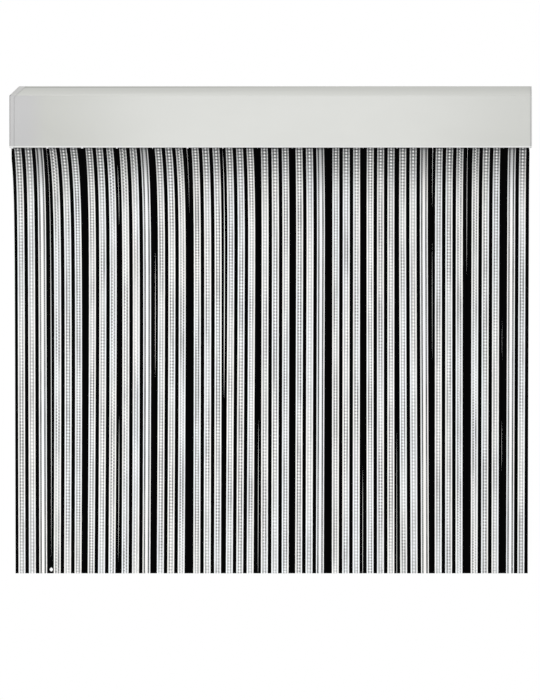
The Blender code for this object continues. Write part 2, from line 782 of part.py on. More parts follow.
clear_scene()
parts = new_collection("strip_door_curtain")
cutters = new_collection("cutters")
header_paint = new_material("header_paint", (0.68, 0.69, 0.65), 0.38, 0.0)
cap_plastic = new_material("cap_plastic", (0.62, 0.62, 0.61), 0.42, 0.0)
plate_metal = new_material("plate_metal", (0.70, 0.71, 0.72), 0.40, 1.0)
rod_steel = new_material("rod_steel", (0.60, 0.61, 0.62), 0.28, 1.0)
bracket_plastic = new_material("bracket_plastic", (0.42, 0.42, 0.41), 0.50, 0.0)
hanger_plastic = new_material("hanger_plastic", (0.030, 0.030, 0.032), 0.45, 0.0)
black_pvc = new_material("black_pvc", (0.008, 0.008, 0.009), 0.22, 0.0)
clear_pvc = new_material("clear_pvc", (0.78, 0.80, 0.80), 0.20, 0.0)

build_cover()
build_wall_plate()
build_left_cap()
build_right_cap()
build_rod()
for bracket_number, unit_before in enumerate(BRACKET_AFTER_UNITS, start=1):
    build_bracket(bracket_number, sum(slit_edges(unit_before)) / 2)
for unit_number in range(1, UNIT_COUNT + 1):
    build_unit(unit_number)
bpy.context.view_layer.update()
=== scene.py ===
"""Strip door curtain: the looks of the header box and of its fifteen units of bands.

Metres, +Z up, the front faces -Y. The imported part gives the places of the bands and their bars, and
each unit's bands ride on its body.
"""

import math
import random

import bpy
import numpy as np
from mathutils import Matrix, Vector


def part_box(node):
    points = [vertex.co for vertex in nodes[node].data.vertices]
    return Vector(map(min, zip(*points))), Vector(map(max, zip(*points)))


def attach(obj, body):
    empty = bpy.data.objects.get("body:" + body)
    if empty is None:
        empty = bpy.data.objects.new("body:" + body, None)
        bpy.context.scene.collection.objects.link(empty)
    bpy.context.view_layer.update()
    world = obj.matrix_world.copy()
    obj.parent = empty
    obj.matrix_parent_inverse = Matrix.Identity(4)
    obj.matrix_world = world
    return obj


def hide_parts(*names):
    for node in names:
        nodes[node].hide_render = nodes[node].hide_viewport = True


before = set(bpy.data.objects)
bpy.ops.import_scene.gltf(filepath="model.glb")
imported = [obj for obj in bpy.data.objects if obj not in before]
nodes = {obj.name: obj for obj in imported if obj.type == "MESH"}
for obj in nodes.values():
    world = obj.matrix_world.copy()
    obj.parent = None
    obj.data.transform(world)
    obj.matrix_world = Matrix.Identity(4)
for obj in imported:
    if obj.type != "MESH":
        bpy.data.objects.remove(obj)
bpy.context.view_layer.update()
SEED = 20
rng = random.Random(SEED)

# Header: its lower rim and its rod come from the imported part, then the front face, the fold below the
# sloped band and the bead along the lower edge
UNIT_COUNT = 15
RIM_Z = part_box("header_cover")[0].z
ROD_LOW, ROD_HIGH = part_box("hanging_rod")
ROD_Y = (ROD_LOW.y + ROD_HIGH.y) / 2
FACE_Y = -0.060
FOLD_Z = 0.0365
BEAD_HEIGHT = 0.0028

# The hair by which bands of one unit lap, so that no light shows at a seam
LAP = 0.00002

# Black bands: half thickness and bevel
BLACK_HALF = 0.00055
BLACK_BEVEL = 0.0003

# Clear bands: sections from the edge to the middle, as place across (m) and half thickness (m) between
# two cross-bars and at one
RIBBED = (
    (0.0, 0.00025, 0.00025),
    (0.0007, 0.00086, 0.00092),
    (0.00105, 0.00100, 0.00110),
    (0.0015, 0.00104, 0.00118),
    (0.0022, 0.00096, 0.00106),
    (0.0029, 0.00068, 0.00078),
    (0.0036, 0.00038, 0.00063),
    (0.0046, 0.00034, 0.00072),
    (0.0054, 0.00048, 0.00090),
    (0.0066, 0.00090, 0.00140),
)
SMOOTH = (
    (0.0, 0.00025, 0.00025),
    (0.0007, 0.00090, 0.00090),
    (0.00105, 0.00108, 0.00108),
    (0.0015, 0.00115, 0.00115),
    (0.0024, 0.00105, 0.00105),
    (0.0029, 0.00070, 0.00075),
    (0.0032, 0.00024, 0.00036),
    (0.0044, 0.00024, 0.00036),
    (0.0048, 0.00080, 0.00085),
    (0.0060, 0.00104, 0.00104),
    (0.0074, 0.00110, 0.00110),
)

# Kinds of clear band, by the pitch of their cells (m), and the kinds in each unit: two kinds are wide
# and smooth, and one has shallow grooves
CELLS = {
    "usual": 0.00540,
    "short": 0.00484,
    "shallow": 0.00595,
    "medium": 0.00515,
    "smooth": 0.00388,
    "last": 0.00425,
}
CELL_SPREAD = (0.99, 1.01)
ROWS_PER_CELL = 4
SMOOTH_KINDS = ("smooth", "last")
FIRST_SET = ("usual", "shallow", "smooth")
SECOND_SET = ("usual", "usual", "short")
THIRD_SET = ("short", "usual", "usual")
FOURTH_SET = ("medium", "usual", "short")
KINDS = (
    FIRST_SET,
    SECOND_SET,
    THIRD_SET,
    FIRST_SET,
    FOURTH_SET,
    THIRD_SET,
    FOURTH_SET,
    SECOND_SET,
    FIRST_SET,
    THIRD_SET,
    THIRD_SET,
    FIRST_SET,
    SECOND_SET,
    FOURTH_SET[::-1],
    ("last", "usual"),
)

# The least half thickness in the grooves of a shallow band, and how many points of its section
# stay as they are at each edge
SHALLOW_HALF = 0.00060
EDGE_POINTS = 2

# How far the cross-bars stand out: at the rim and a little below it, then between two limits at even
# steps down the band
TOP_STRENGTHS = [1.85, 1.75]
SECOND_STRENGTH_SHARES = (0.04, 0.09)
STRENGTH_LIMITS = (0.3, 1.3)
STRENGTH_COUNT = 22
STRENGTH_START_SHARE = 0.12
STRENGTH_STEP_SHARE = 0.042

# How far a band's right row of cells stands off its left row, in cells: one is picked for each band
STAGGERS = (0.0, 0.0, 0.0, 0.5)

# Sideways sway of each unit against its packed place, in mm: at its hanger, about a third of the way
# down and at its lower end
SWAY = (
    (-9.0, -3.0, -1.5),
    (-9.0, -1.0, -1.0),
    (-6.5, -0.5, -2.5),
    (-6.0, -0.5, -1.5),
    (-5.5, 0.5, -1.5),
    (-4.0, 0.0, -1.0),
    (-2.5, 1.0, -2.0),
    (-1.0, 0.5, -1.0),
    (-0.5, 1.0, -1.0),
    (1.0, 1.0, 0.0),
    (1.5, 1.0, 1.0),
    (0.5, 0.0, 2.0),
    (3.0, 1.5, 1.0),
    (5.0, 3.0, 1.5),
    (4.5, 3.0, 1.0),
)
MIDDLE_SHARE = 0.36
LOW_START_SHARE = 0.2
FLARE_SHARE = 0.08

# The outer bands: the first one's flare at the rim and the last one's extra width, both of which grow
# from nothing over a short share of the way down
FIRST_BAND_FLARE = 0.0015
LAST_BAND_EXTRA = 0.0008
OUTER_START_SHARE = 0.006

# Units between the first and the middle one bow inwards, the second one most
BOW = 0.0012
MIDDLE_UNIT = 8

# Light slits after a unit, by its number: place across the gap at the top and at the bottom as shares
# of the gap, then openings as share down, half length as a share, and width in mm
SLITS = {
    1: (0.55, 0.65, ((0.14, 0.09, 0.35), (0.47, 0.50, 0.85), (0.991, 0.0048, 5.6))),
    3: (0.50, 0.46, ((0.11, 0.07, 0.4), (0.80, 0.17, 0.65))),
    4: (0.64, 0.64, ((0.39, 0.15, 0.5),)),
    5: (0.48, 0.48, ((0.03, 0.12, 0.3),)),
    6: (0.50, 0.48, ((0.24, 0.24, 1.0), (0.38, 0.21, 1.05))),
    7: (0.60, 0.62, ((0.83, 0.19, 0.6),)),
    10: (0.42, 0.44, ((0.93, 0.18, 0.5),)),
    11: (0.45, 0.40, ((1.00, 0.34, 0.45),)),
    12: (0.62, 0.62, ((0.03, 0.11, 0.3), (0.36, 0.14, 0.25))),
    13: (0.44, 0.46, ((0.13, 0.17, 0.4),)),
    14: (0.40, 0.36, ((0.45, 0.05, 0.1), (0.70, 0.06, 0.2))),
}
MM_PER_M = 1000

# A slit that isn't listed, and the width in mm of every slit where it has no opening
PLAIN_SLIT = (0.5, 0.5, ())
CLOSED_SLIT = 0.0006

# Bars that join the bands of one colour in a hanger: front and back, height and inset at both ends
CLEAR_BAR_Y = (-0.03250, -0.03096)
CLEAR_BAR_HEIGHT = 0.0054
BLACK_BAR_Y = (-0.03060, -0.02772)
BLACK_BAR_HEIGHT = 0.0028
BAR_INSET = 0.0006

# Rows of points down a black band: even ones, of which the last spans get finer rows for the round
# opening there, and one row a hair below the hanger's reach
BLACK_ROWS = 84
COARSE_END = 3
FOOT_ROWS = 30
HAIR = 0.00001

# The lowest place that a swinging hanger reaches: down to there, a unit's bands keep clear of the next
# hanger, and the curtain's two outermost bands may pass the end of their own hanger by a margin
HANGER_SWEEP_Z = -0.0539
HANGER_MARGIN = 0.0002

# Down to here the first band swings up beside the left cap's wall and keeps a gap to its inner face
CAP_SWEEP_Z = -0.0630
CAP_WALL = 0.0025
CAP_GAP = 0.0004

# Screen colours: their white and the power that turns them into light
SCREEN_WHITE = 255
SCREEN_GAMMA = 2.2


def linear(red, green, blue):
    """A screen colour, 0 to 255, as scene light."""
    return tuple((v / SCREEN_WHITE) ** SCREEN_GAMMA for v in (red, green, blue)) + (1.0,)


# Materials: where their tones change, as the place at which a change starts and the one at which it ends

# Painted shade towards the left and the right end of the header's face
LEFT_END_SHADE_X = (-0.12, -0.47)
RIGHT_END_SHADE_X = (0.18, 0.48)
COOL_END_X = (-0.425, -0.38)
# Painted shade towards the lower edge
LOW_SHADE_Z = (0.03, -0.06)
# Painted shade up the sloped band
SLOPE_SHADE_Z = (FOLD_Z, 0.052)
FOLD_EDGE_Z = (FOLD_Z - 0.0002, FOLD_Z + 0.0004)
# Painted highlight on the bead along the lower edge
BEAD_HIGHLIGHT_Z = (RIM_Z + BEAD_HEIGHT + 0.0002, RIM_Z + BEAD_HEIGHT - 0.0004)
# Painted shade along the upper edge: its foot, its top and its reach to the right
BRIM_FOOT_Z = (0.0494, 0.0502)
BRIM_TOP_Z = (0.0520, 0.0512)
BRIM_SHADE_REACH_X = (-0.42, 0.25)
# Painted shade: the left cap darker than the right one, across this span
CAP_SIDES_X = (-0.3, 0.3)

# The painted shade line round the left cap's front: its outer edge, the mitred corner by Z minus X, and
# the front
CAP_OUTER_X = (-0.4482, -0.4491)
CAP_MITRE = (0.4841, 0.4853)
CAP_FRONT_Y = (-0.0578, -0.0586)

# Clear bands, whose tones are all painted light: by half thickness (m), by height for the painted shadow
# under the header, and by the sideways part of the surface's normal for the painted dark flanks
THICK_HALF = (0.00038, 0.00112)
HOLLOW_HALF = (0.00024, 0.00034)
BEADED_HALF = (0.00085, 0.00145)
# Painted shadow under the header: where it starts and ends, and how far it wanders
PAINTED_SHADOW_Z = (RIM_Z + 0.045, RIM_Z - 0.075)
PAINTED_SHADOW_WANDER = 0.06
# Painted contact shadow under the header's lip
LIP_SHADOW_Z = (RIM_Z - 0.006, RIM_Z - 0.001)
# Painted dark flanks, by the sideways part of the normal, for light bent at the steep sides
FLANK_REFRACTION_TURN = (0.33, 0.56)

# Noise: its scale, then its stretch and its detail where they aren't the usual ones
PAINT_CLOUD = (9.0, (1, 1, 2))
PAINT_GRAIN = 900.0
CAP_CLOUD = 14.0
DRAWING_MARK = (40.0, (12, 1, 0.15))
BAND_CLOUD = (1.0, (52, 0, 7), 1.0)
BAND_TINT = (1.0, (31, 0, 3), 0.0)
GLOSS_SCALE = 2.3
GLOSS_SPREAD = 0.04
BUMP_SCALE = 12

# Ranges of noise over which one tone turns into the other
TONE_NOISE = (0.35, 0.65)
WIDE_NOISE = (0.3, 0.7)
MARK_NOISE = (0.35, 0.7)
TINT_NOISE = (0.40, 0.60)

# Bump: its depth on plain finishes, then strength and depth on the paint
PLAIN_BUMP_DEPTH = 0.0002
PAINT_BUMP = (0.08, 0.0001)


def new_material(name):
    material = bpy.data.materials.new(name)
    material.use_nodes = True
    tree = material.node_tree
    shader = tree.nodes["Principled BSDF"]
    place = tree.nodes.new("ShaderNodeTexCoord").outputs["Object"]
    return material, tree, shader, place


def noise(tree, place, scale, stretch=(1, 1, 1), detail=2.0):
    """Noise of a size and stretch, as a value."""
    mapping = tree.nodes.new("ShaderNodeMapping")
    mapping.inputs["Scale"].default_value = stretch
    tree.links.new(place, mapping.inputs["Vector"])
    texture = tree.nodes.new("ShaderNodeTexNoise")
    texture.inputs["Scale"].default_value = scale
    texture.inputs["Detail"].default_value = detail
    tree.links.new(mapping.outputs["Vector"], texture.inputs["Vector"])
    return texture.outputs["Fac"]


def ramp(tree, value, low, high, to_low=0.0, to_high=1.0):
    """A value moved from one range to another, smooth at both ends."""
    node = tree.nodes.new("ShaderNodeMapRange")
    node.interpolation_type = "SMOOTHSTEP"
    node.inputs["From Min"].default_value = low
    node.inputs["From Max"].default_value = high
    node.inputs["To Min"].default_value = to_low
    node.inputs["To Max"].default_value = to_high
    tree.links.new(value, node.inputs["Value"])
    return node.outputs["Result"]


def maths(tree, operation, first, second):
    node = tree.nodes.new("ShaderNodeMath")
    node.operation = operation
    for socket, value in zip(node.inputs, (first, second)):
        if isinstance(value, (int, float)):
            socket.default_value = value
        else:
            tree.links.new(value, socket)
    return node.outputs[0]


def blend_colours(tree, share, first, second):
    node = tree.nodes.new("ShaderNodeMix")
    node.data_type = "RGBA"
    tree.links.new(share, node.inputs["Factor"])
    for socket, value in zip((node.inputs[6], node.inputs[7]), (first, second)):
        if isinstance(value, tuple):
            socket.default_value = value
        else:
            tree.links.new(value, socket)
    return node.outputs[2]


def axis(tree, place, name):
    node = tree.nodes.new("ShaderNodeSeparateXYZ")
    tree.links.new(place, node.inputs[0])
    return node.outputs[name]


def add_bump(tree, shader, height, strength, distance):
    node = tree.nodes.new("ShaderNodeBump")
    node.inputs["Strength"].default_value = strength
    node.inputs["Distance"].default_value = distance
    tree.links.new(height, node.inputs["Height"])
    tree.links.new(node.outputs["Normal"], shader.inputs["Normal"])


def finish(name, first, second, scale, roughness, metallic=0.0, stretch=(1, 1, 1), bump=0.0):
    """A plain finish: two close colours and two levels of gloss, mixed by noise."""
    material, tree, shader, place = new_material(name)
    value = ramp(tree, noise(tree, place, scale, stretch), *TONE_NOISE)
    tree.links.new(blend_colours(tree, value, first, second), shader.inputs["Base Color"])
    marks = noise(tree, place, scale * GLOSS_SCALE, stretch)
    gloss = ramp(tree, marks, *WIDE_NOISE, roughness - GLOSS_SPREAD, roughness + GLOSS_SPREAD)
    tree.links.new(gloss, shader.inputs["Roughness"])
    shader.inputs["Metallic"].default_value = metallic
    if bump:
        grain = noise(tree, place, scale * BUMP_SCALE, stretch)
        add_bump(tree, shader, grain, bump, PLAIN_BUMP_DEPTH)
    return material


def paint_bead_highlight(tree, place, colour):
    """Painted highlight: the bead along the lower edge is painted lighter than the face above it, for
    the light it catches.
    """
    on_bead_highlight = ramp(tree, axis(tree, place, "Z"), *BEAD_HIGHLIGHT_Z)
    return blend_colours(tree, on_bead_highlight, colour, linear(232, 233, 231))


def make_paint():
    """Satin paint, cooler at the left end, with painted shade: darker towards the ends and the lower
    edge, darker up the sloped band, and a darker line along the upper edge that fades to the right."""
    material, tree, shader, place = new_material("satin_paint")
    cloud = ramp(tree, noise(tree, place, *PAINT_CLOUD), *WIDE_NOISE)
    middle = blend_colours(tree, cloud, linear(220, 221, 217), linear(222, 223, 219))
    # Painted shade: the face is darker towards both ends, most at the left, and towards the lower edge
    left_end_shade = ramp(tree, axis(tree, place, "X"), *LEFT_END_SHADE_X, 0.0, 0.9)
    right_end_shade = ramp(tree, axis(tree, place, "X"), *RIGHT_END_SHADE_X, 0.0, 0.5)
    ends = maths(tree, "ADD", left_end_shade, right_end_shade)
    low = ramp(tree, axis(tree, place, "Z"), *LOW_SHADE_Z, 0.08, 0.40)
    end_and_low_shade = maths(tree, "ADD", ends, maths(tree, "MULTIPLY", maths(tree, "ADD", ends, 0.10), low))
    warm = blend_colours(tree, end_and_low_shade, middle, linear(197, 198, 193))
    cool = ramp(tree, axis(tree, place, "X"), *COOL_END_X)
    # Painted shade at the cool left end too: darker towards the lower edge
    grey = blend_colours(tree, low, linear(198, 198, 198), linear(178, 178, 178))
    face = blend_colours(tree, cool, grey, warm)
    # Painted shade: the sloped band is darker from the fold up to its top edge
    rise = ramp(tree, axis(tree, place, "Z"), *SLOPE_SHADE_Z)
    shaded_slope = blend_colours(tree, rise, linear(226, 227, 222), linear(213, 214, 209))
    on_slope = ramp(tree, axis(tree, place, "Z"), *FOLD_EDGE_Z)
    # Painted shade: a darker line along the upper edge that fades to the right
    above = ramp(tree, axis(tree, place, "Z"), *BRIM_FOOT_Z)
    beneath = ramp(tree, axis(tree, place, "Z"), *BRIM_TOP_Z)
    reach = ramp(tree, axis(tree, place, "X"), *BRIM_SHADE_REACH_X, 0.7, 0.0)
    brim_shade = maths(tree, "MULTIPLY", maths(tree, "MULTIPLY", above, beneath), reach)
    shaped = blend_colours(tree, brim_shade, blend_colours(tree, on_slope, face, shaded_slope), linear(172, 173, 169))
    tree.links.new(paint_bead_highlight(tree, place, shaped), shader.inputs["Base Color"])
    shader.inputs["Roughness"].default_value = 0.42
    add_bump(tree, shader, noise(tree, place, PAINT_GRAIN), *PAINT_BUMP)
    return material


def make_cap():
    """Moulded cap, a trace deeper than the paint beside it, with painted shade: the left cap darker than
    the right one, both darker towards the lower edge, and a darker line round the left cap's front."""
    material, tree, shader, place = new_material("cap_moulding")
    cloud = ramp(tree, noise(tree, place, CAP_CLOUD), *TONE_NOISE)
    # Painted shade: the left cap darker than the right one
    side = ramp(tree, axis(tree, place, "X"), *CAP_SIDES_X)
    upper = blend_colours(tree, side, linear(196, 196, 196), linear(204, 205, 203))
    # Painted shade towards the lower edge
    low = ramp(tree, axis(tree, place, "Z"), *LOW_SHADE_Z, 0.0, 0.5)
    face = blend_colours(tree, low, upper, linear(182, 182, 182))
    rise = ramp(tree, axis(tree, place, "Z"), *FOLD_EDGE_Z)
    shaped = blend_colours(tree, rise, face, linear(216, 216, 214))
    # Painted shade: a dark line along the left cap's outer edge and mitred corner
    outer = ramp(tree, axis(tree, place, "X"), *CAP_OUTER_X)
    diagonal = maths(tree, "SUBTRACT", axis(tree, place, "Z"), axis(tree, place, "X"))
    mitre = ramp(tree, diagonal, *CAP_MITRE)
    front = ramp(tree, axis(tree, place, "Y"), *CAP_FRONT_Y)
    edge_shade = maths(tree, "MULTIPLY", maths(tree, "MAXIMUM", outer, mitre), front)
    shaped = blend_colours(tree, edge_shade, shaped, linear(146, 146, 146))
    tree.links.new(paint_bead_highlight(tree, place, shaped), shader.inputs["Base Color"])
    tree.links.new(ramp(tree, cloud, 0.0, 1.0, 0.40, 0.48), shader.inputs["Roughness"])
    return material


def make_black():
    """Black band: glossy, with faint lengthwise drawing marks."""
    material, tree, shader, place = new_material("black_band")
    mark = ramp(tree, noise(tree, place, *DRAWING_MARK), *MARK_NOISE)
    colour = blend_colours(tree, mark, (0.0002, 0.0002, 0.0003, 1), (0.0004, 0.0004, 0.0005, 1))
    tree.links.new(colour, shader.inputs["Base Color"])
    tree.links.new(ramp(tree, mark, 0.0, 1.0, 0.16, 0.24), shader.inputs["Roughness"])
    shader.inputs["Specular IOR Level"].default_value = 0.02
    return material


def make_clear():
    """Clear band, drawn opaque with painted light: bright where it is thick and grey where it is thin
    for the light through it, a painted shadow under the header, and painted dark flanks.
    """
    material, tree, shader, place = new_material("clear_band")
    depth = maths(tree, "ABSOLUTE", maths(tree, "ADD", axis(tree, place, "Y"), -ROD_Y), 0.0)
    # Painted light: the opaque band is bright where thick, grey where thin and darkest in its hollows,
    # for the light through the clear PVC
    thick = ramp(tree, depth, *THICK_HALF)
    height = axis(tree, place, "Z")
    cloud = noise(tree, place, *BAND_CLOUD)
    # Painted shadow of the header over the band's top, fading down to a wandering height
    reach = maths(tree, "ADD", height, maths(tree, "MULTIPLY", cloud, PAINTED_SHADOW_WANDER))
    out_of_painted_shadow = ramp(tree, reach, *PAINTED_SHADOW_Z)
    contrast = ramp(tree, cloud, *TONE_NOISE)
    web_low = blend_colours(tree, contrast, linear(106, 108, 109), linear(180, 182, 182))
    hollow = ramp(tree, depth, *HOLLOW_HALF, 0.6, 0.0)
    web_low = blend_colours(tree, hollow, web_low, linear(76, 78, 79))
    web = blend_colours(tree, out_of_painted_shadow, linear(60, 62, 62), web_low)
    tint = ramp(tree, noise(tree, place, *BAND_TINT), *TINT_NOISE)
    rib_low = blend_colours(tree, tint, linear(250, 252, 254), linear(254, 252, 249))
    bead = ramp(tree, depth, *BEADED_HALF)
    rib_in_shadow = blend_colours(tree, bead, linear(106, 108, 108), linear(253, 254, 253))
    rib = blend_colours(tree, out_of_painted_shadow, rib_in_shadow, rib_low)
    # Painted dark flanks where the side-facing surface bends the light
    facing = tree.nodes.new("ShaderNodeTexCoord").outputs["Normal"]
    sideways = maths(tree, "ABSOLUTE", axis(tree, facing, "X"), 0.0)
    flank_refraction = ramp(tree, sideways, *FLANK_REFRACTION_TURN)
    # Painted contact shadow just under the header's lip
    lip_shadow = ramp(tree, height, *LIP_SHADOW_Z, 0.0, 0.5)
    painted_dark = maths(tree, "MAXIMUM", flank_refraction, lip_shadow)
    body = blend_colours(tree, thick, web, rib)
    tree.links.new(blend_colours(tree, painted_dark, body, linear(20, 21, 22)), shader.inputs["Base Color"])
    shader.inputs["Roughness"].default_value = 0.16
    shader.inputs["IOR"].default_value = 1.5
    return material


satin_paint = make_paint()
cap_plastic = make_cap()
plate_metal = finish(
    "plate_aluminium", (0.62, 0.63, 0.64, 1), (0.70, 0.71, 0.72, 1), 60, 0.38,
    metallic=1.0, stretch=(0.05, 1, 1),
)
rod_steel = finish(
    "rod_brushed_steel", (0.50, 0.51, 0.52, 1), (0.62, 0.63, 0.64, 1), 200, 0.28,
    metallic=1.0, stretch=(0.02, 1, 1),
)
bracket_plastic = finish(
    "bracket_moulding", (0.36, 0.36, 0.35, 1), (0.42, 0.42, 0.41, 1), 80, 0.5, bump=0.1,
)
hanger_plastic = finish(
    "hanger_moulding", (0.020, 0.020, 0.021, 1), (0.032, 0.032, 0.034, 1), 80, 0.42, bump=0.1,
)
black_band = make_black()
clear_band = make_clear()

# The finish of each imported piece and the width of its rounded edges, by the start of its name
FINISHES = {
    "header_cover": satin_paint,
    "wall_plate": plate_metal,
    "end_cap": cap_plastic,
    "hanging_rod": rod_steel,
    "rod_bracket": bracket_plastic,
    "strip_hanger": hanger_plastic,
}
ROUNDING = {
    "header_cover": 0.0008,
    "end_cap_left": 0.0013,
    "end_cap_right": 0.0008,
    "rod_bracket": 0.0004,
    "strip_hanger": 0.0003,
}
WELD_DISTANCE = 0.00002
ROUNDED_ANGLE = 28


def soften(piece, width):
    """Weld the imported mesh's split corners and round its edges."""
    weld = piece.modifiers.new("weld", "WELD")
    weld.merge_threshold = WELD_DISTANCE
    bevel = piece.modifiers.new("round", "BEVEL")
    bevel.width = width
    bevel.segments = 3
    bevel.limit_method = "ANGLE"
    bevel.angle_limit = math.radians(ROUNDED_ANGLE)
    bevel.use_clamp_overlap = True


for name, piece in nodes.items():
    for start, material in FINISHES.items():
        if name.startswith(start):
            piece.data.materials.clear()
            piece.data.materials.append(material)
    for start, width in ROUNDING.items():
        if name.startswith(start):
            soften(piece, width)


# Bands: the angle (degrees) from which an edge is sharp

CLEAR_SMOOTH_ANGLE = 50
BLACK_SMOOTH_ANGLE = 30

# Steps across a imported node's lower end that are wider than this lie between two of its bands
CLEAR_SPLIT = 0.0042
BLACK_SPLIT = 0.0085
FOOT_DEPTH = 0.001


def mesh_piece(name, points, faces, material, smooth_angle):
    mesh = bpy.data.meshes.new(name)
    mesh.from_pydata(points, [], faces)
    mesh.shade_smooth()
    mesh.set_sharp_from_angle(angle=math.radians(smooth_angle))
    mesh.materials.append(material)
    piece = bpy.data.objects.new(name, mesh)
    bpy.context.scene.collection.objects.link(piece)
    return piece


def lower_edges(node, split):
    """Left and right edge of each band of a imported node, at its lower end."""
    points = np.array([v.co for v in nodes[node].data.vertices])
    height = points[:, 2]
    at_foot = points[height < height.min() + FOOT_DEPTH, 0]
    across = np.sort(np.unique(np.round(at_foot, 5)))
    cuts = np.flatnonzero(np.diff(across) > split)
    starts = [0] + [c + 1 for c in cuts]
    ends = list(cuts) + [len(across) - 1]
    return [(across[a], across[b]) for a, b in zip(starts, ends)]


clear_edges = [lower_edges(f"clear_bands_{u:02d}", CLEAR_SPLIT) for u in range(1, UNIT_COUNT + 1)]
black_edges = [lower_edges(f"black_bands_{u:02d}", BLACK_SPLIT) for u in range(1, UNIT_COUNT + 1)]

# The bands start inside their bars, the clear ones by an inset and the black ones half-way down
BAND_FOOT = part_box("clear_bands_01")[0].z
BAR_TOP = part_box("clear_bands_01")[1].z
CLEAR_TOP_INSET = 0.0031
CLEAR_TOP = BAR_TOP - CLEAR_TOP_INSET
BLACK_TOP = BAR_TOP - BLACK_BAR_HEIGHT / 2


def share_down(z):
    """How far down a height is, from the header's rim at 0 to the bands' lower ends at 1."""
    return np.clip((RIM_Z - z) / (RIM_Z - BAND_FOOT), 0.0, 1.0)


def sway(unit, z):
    """Sideways shift of a unit at a height, against its packed place."""
    top, middle, low = (v / MM_PER_M for v in SWAY[unit - 1])
    t = share_down(z)
    flare = (np.exp(-t / FLARE_SHARE) - math.exp(-MIDDLE_SHARE / FLARE_SHARE)) * (top - middle)
    bow = 0.0
    if 1 < unit < MIDDLE_UNIT:
        bow = BOW * (MIDDLE_UNIT - unit) / (MIDDLE_UNIT - 1) * np.sin(math.pi * t)
    lower = np.clip((t - LOW_START_SHARE) / (1 - LOW_START_SHARE), 0.0, 1.0)
    return middle + flare + bow + (low - middle) * lower


def slit(unit, z):
    """Places of the left and the right side of the slit after a unit."""
    left = clear_edges[unit - 1][-1][1] + sway(unit, z)
    right = clear_edges[unit][0][0] + sway(unit + 1, z)
    at_top, at_foot, openings = SLITS.get(unit, PLAIN_SLIT)
    t = share_down(z)
    width = np.full_like(t, CLOSED_SLIT)
    for middle, half, widest in openings:
        rise = np.clip(1 - np.abs(t - middle) / half, 0.0, 1.0)
        width = np.maximum(width, widest * rise * (2 - rise))
    centre = left + (right - left) * (at_top + (at_foot - at_top) * t)
    half_width = width / MM_PER_M / 2
    return centre - half_width, centre + half_width


def tube(levels, rings, front_count):
    """Points and faces of a band: rings of points at each level, closed at both ends."""
    ring = rings.shape[1]
    count = len(levels)
    points = np.empty((count, ring, 3))
    points[:, :, 0] = rings[:, :, 0]
    points[:, :, 1] = ROD_Y + rings[:, :, 1]
    points[:, :, 2] = levels[:, None]
    row = np.arange(ring)
    after = (row + 1) % ring
    start = (np.arange(count - 1) * ring)[:, None]
    corners = [start + row, start + ring + row, start + ring + after, start + after]
    faces = np.stack(corners, axis=-1).reshape(-1, 4)
    ends = []
    for start, flip in ((0, False), ((count - 1) * ring, True)):
        for i in range(front_count - 1):
            quad = [start + i, start + i + 1, start + ring - 2 - i, start + ring - 1 - i]
            ends.append(quad[::-1] if flip else quad)
    return points.reshape(-1, 3), np.concatenate([faces, np.array(ends)])


def both_sides(across, half):
    """A ring of points: the front from left to right, then the back from right to left."""
    front = np.stack([across, -half], axis=-1)
    back = np.stack([across[:, ::-1], half[:, ::-1]], axis=-1)
    return np.concatenate([front, back], axis=1)


def mirrored(section, width):
    """A half section, given from the left edge to the middle, as places across and half thicknesses."""
    left_places = [row[0] for row in section[:-1]]
    places = left_places + [width / 2] + [width - p for p in left_places][::-1]
    sides = []
    for column in range(1, len(section[0])):
        half = [row[column] for row in section]
        sides.append(np.array(half + half[:-1][::-1]))
    return np.array(places), sides


def bar_strength(levels):
    """How far the cross-bars stand out along a band: strong under the header, then by chance."""
    values = TOP_STRENGTHS + [rng.uniform(*STRENGTH_LIMITS) for _ in range(STRENGTH_COUNT)]
    shares = [0.0, rng.uniform(*SECOND_STRENGTH_SHARES)]
    shares += [STRENGTH_START_SHARE + STRENGTH_STEP_SHARE * i for i in range(STRENGTH_COUNT)]
    return np.interp(share_down(levels), shares, values)


def clear_strip(unit, kind, left, right):
    """A clear band: two edge ribs, a groove beside each with a bar across every cell, and a
    middle that is a row of beads or, on the wide kinds, broad and smooth."""
    cell = CELLS[kind] * rng.uniform(*CELL_SPREAD)
    row_count = int((CLEAR_TOP - BAND_FOOT) / cell * ROWS_PER_CELL)
    levels = np.append(CLEAR_TOP - np.arange(row_count) * cell / ROWS_PER_CELL, BAND_FOOT)
    places, (thin, thick) = mirrored(SMOOTH if kind in SMOOTH_KINDS else RIBBED, right - left)
    if kind == "shallow":
        inner = slice(EDGE_POINTS, -EDGE_POINTS)
        thin[inner] = np.maximum(thin[inner], SHALLOW_HALF)
        thick = np.maximum(thick, thin)
    across = (left + sway(unit, levels))[:, None] + places[None, :]
    stagger = rng.choice(STAGGERS)
    right_half = places > (right - left) / 2
    phase = rng.random() + stagger * right_half
    turns = (CLEAR_TOP - levels)[:, None] / cell + phase[None, :]
    right_strength = bar_strength(levels)[:, None]
    left_strength = bar_strength(levels)[:, None]
    strength = np.where(right_half[None, :], right_strength, left_strength)
    swell = (1 - np.cos(2 * math.pi * turns)) / 2 * strength
    half = thin[None, :] + (thick - thin)[None, :] * swell
    return tube(levels, both_sides(across, half), len(places))


def black_strip(left, right, levels):
    """A flat black band between two edges that may wander. A bevel takes a third of it at most."""
    bevel = np.minimum(BLACK_BEVEL, (right - left) / 3)
    across = np.stack([left, left + bevel, right - bevel, right], axis=-1)
    section = [BLACK_HALF - BLACK_BEVEL, BLACK_HALF, BLACK_HALF, BLACK_HALF - BLACK_BEVEL]
    half = np.tile(section, (len(levels), 1))
    return tube(levels, both_sides(across, half), len(section))


